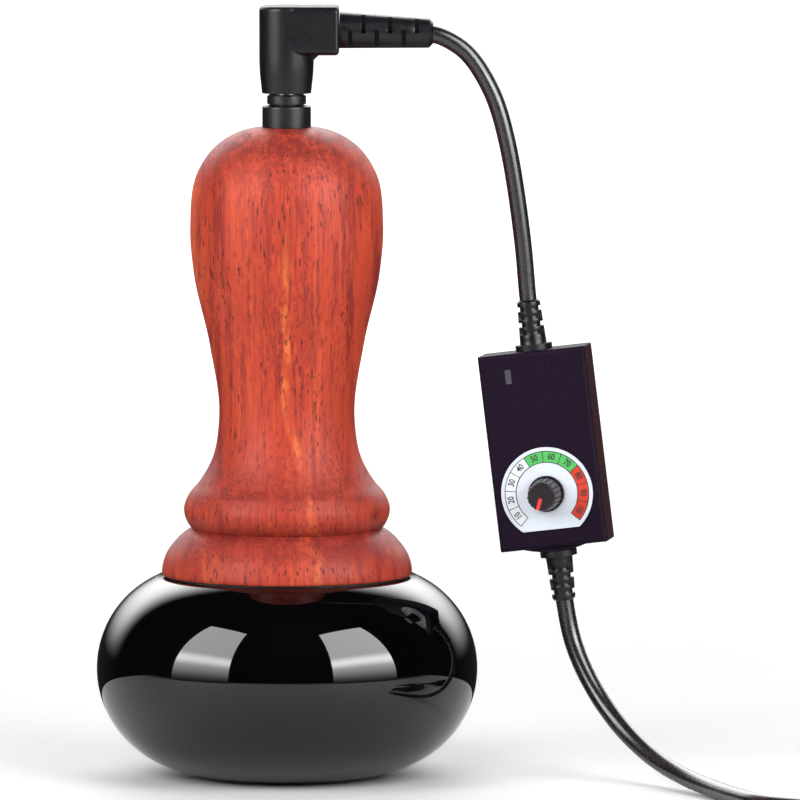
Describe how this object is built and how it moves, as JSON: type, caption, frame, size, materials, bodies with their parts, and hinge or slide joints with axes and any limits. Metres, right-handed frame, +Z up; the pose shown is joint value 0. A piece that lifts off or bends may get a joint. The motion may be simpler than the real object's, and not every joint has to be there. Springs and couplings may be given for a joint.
{
  "type": "hot stone heater",
  "caption": "Polished stone massage head heated from inside, on a turned wood handle, with a plug-in lead carrying a heat dial box.",
  "frame": {"origin": "centre of the stone's flat foot, on the surface that it stands on", "axes": "+Z up the handle's axis, -Y the side that the dial faces, +X the side where the lead leaves"},
  "size_m": [0.2362, 0.1318, 0.1842],
  "materials": {
    "black_stone": "polished",
    "handle_wood": "satin oiled hardwood",
    "heater_film": "amber film",
    "aluminium": "machined",
    "sensor_glass": "amber glass bead",
    "steel": "zinc plated",
    "felt": "ceramic fibre felt",
    "gasket_rubber": "dark silicone",
    "socket_black": "satin",
    "insulator": "natural",
    "contact_metal": "nickel plated",
    "wire_red": "silicone",
    "wire_black": "silicone",
    "glass_fibre": "braided",
    "plug_moulding": "soft moulded",
    "cord_jacket": "satin pvc",
    "case_plastic": "fine grain, plum black",
    "scale_film": "printed",
    "lens": "smoked",
    "led_white": "moulded",
    "board_green": "solder mask",
    "component_black": "moulded",
    "shaft_metal": "turned",
    "knob_plastic": "satin, plum black",
    "pointer_red": "inlaid",
    "tie_strap": "hook and loop"
  },
  "bodies": {
    "massager": {"stone_head": "black_stone", "heater_disc": "heater_film", "heater_block": "aluminium", "temperature_sensor": "sensor_glass", "thermal_cutoff": "steel", "insulation_pad": "felt", "handle_flange": "steel", "flange_screws": "steel", "base_gasket": "gasket_rubber", "handle": "handle_wood", "socket_collar": "socket_black", "socket_insulator": "insulator", "socket_centre_pin": "contact_metal", "socket_spring_contact": "contact_metal", "red_wire": "wire_red", "black_wire": "wire_black", "wire_sleeve": "glass_fibre"},
    "plug_contacts": {"plug_neck": "socket_black", "plug_barrel": "contact_metal", "plug_insulator": "insulator", "plug_centre_contact": "contact_metal"},
    "lead": {"plug_body": "plug_moulding", "plug_strain_relief": "plug_moulding", "upper_cord": "cord_jacket", "upper_gland": "plug_moulding", "front_shell": "case_plastic", "rear_shell": "case_plastic", "gland_boss": "case_plastic", "dial_plate": "scale_film", "indicator_lens": "lens", "indicator_led": "led_white", "circuit_board": "board_green", "potentiometer_body": "component_black", "potentiometer_track": "component_black", "power_transistor": "component_black", "heat_sink": "aluminium", "smoothing_capacitor": "aluminium", "shell_screws": "steel", "lower_gland": "plug_moulding", "lower_cord": "cord_jacket", "cord_coil": "cord_jacket", "coil_tie": "tie_strap", "tail_cord": "cord_jacket", "connector_relief": "plug_moulding", "connector_body": "plug_moulding", "connector_sleeve": "contact_metal", "connector_insulator": "insulator", "connector_pin": "contact_metal"},
    "dial": {"potentiometer_shaft": "shaft_metal", "potentiometer_wiper": "shaft_metal", "knob": "knob_plastic", "knob_pointer": "pointer_red"}
  },
  "joints": [
    {"name": "plug_pull", "type": "slide", "parent": "massager", "child": "plug_contacts", "axis": [0, 0, 1], "range_m": [0, 0.01]},
    {"name": "plug_swivel", "type": "hinge", "parent": "plug_contacts", "child": "lead", "pos_m": [0, 0, 0.163], "axis": [0, 0, 1], "continuous": true},
    {"name": "dial_turn", "type": "hinge", "parent": "lead", "child": "dial", "pos_m": [0.06206, -0.00663, 0.06828], "axis": [0.1736, 0.9848, 0], "range_deg": [0, 293]}
  ]
}
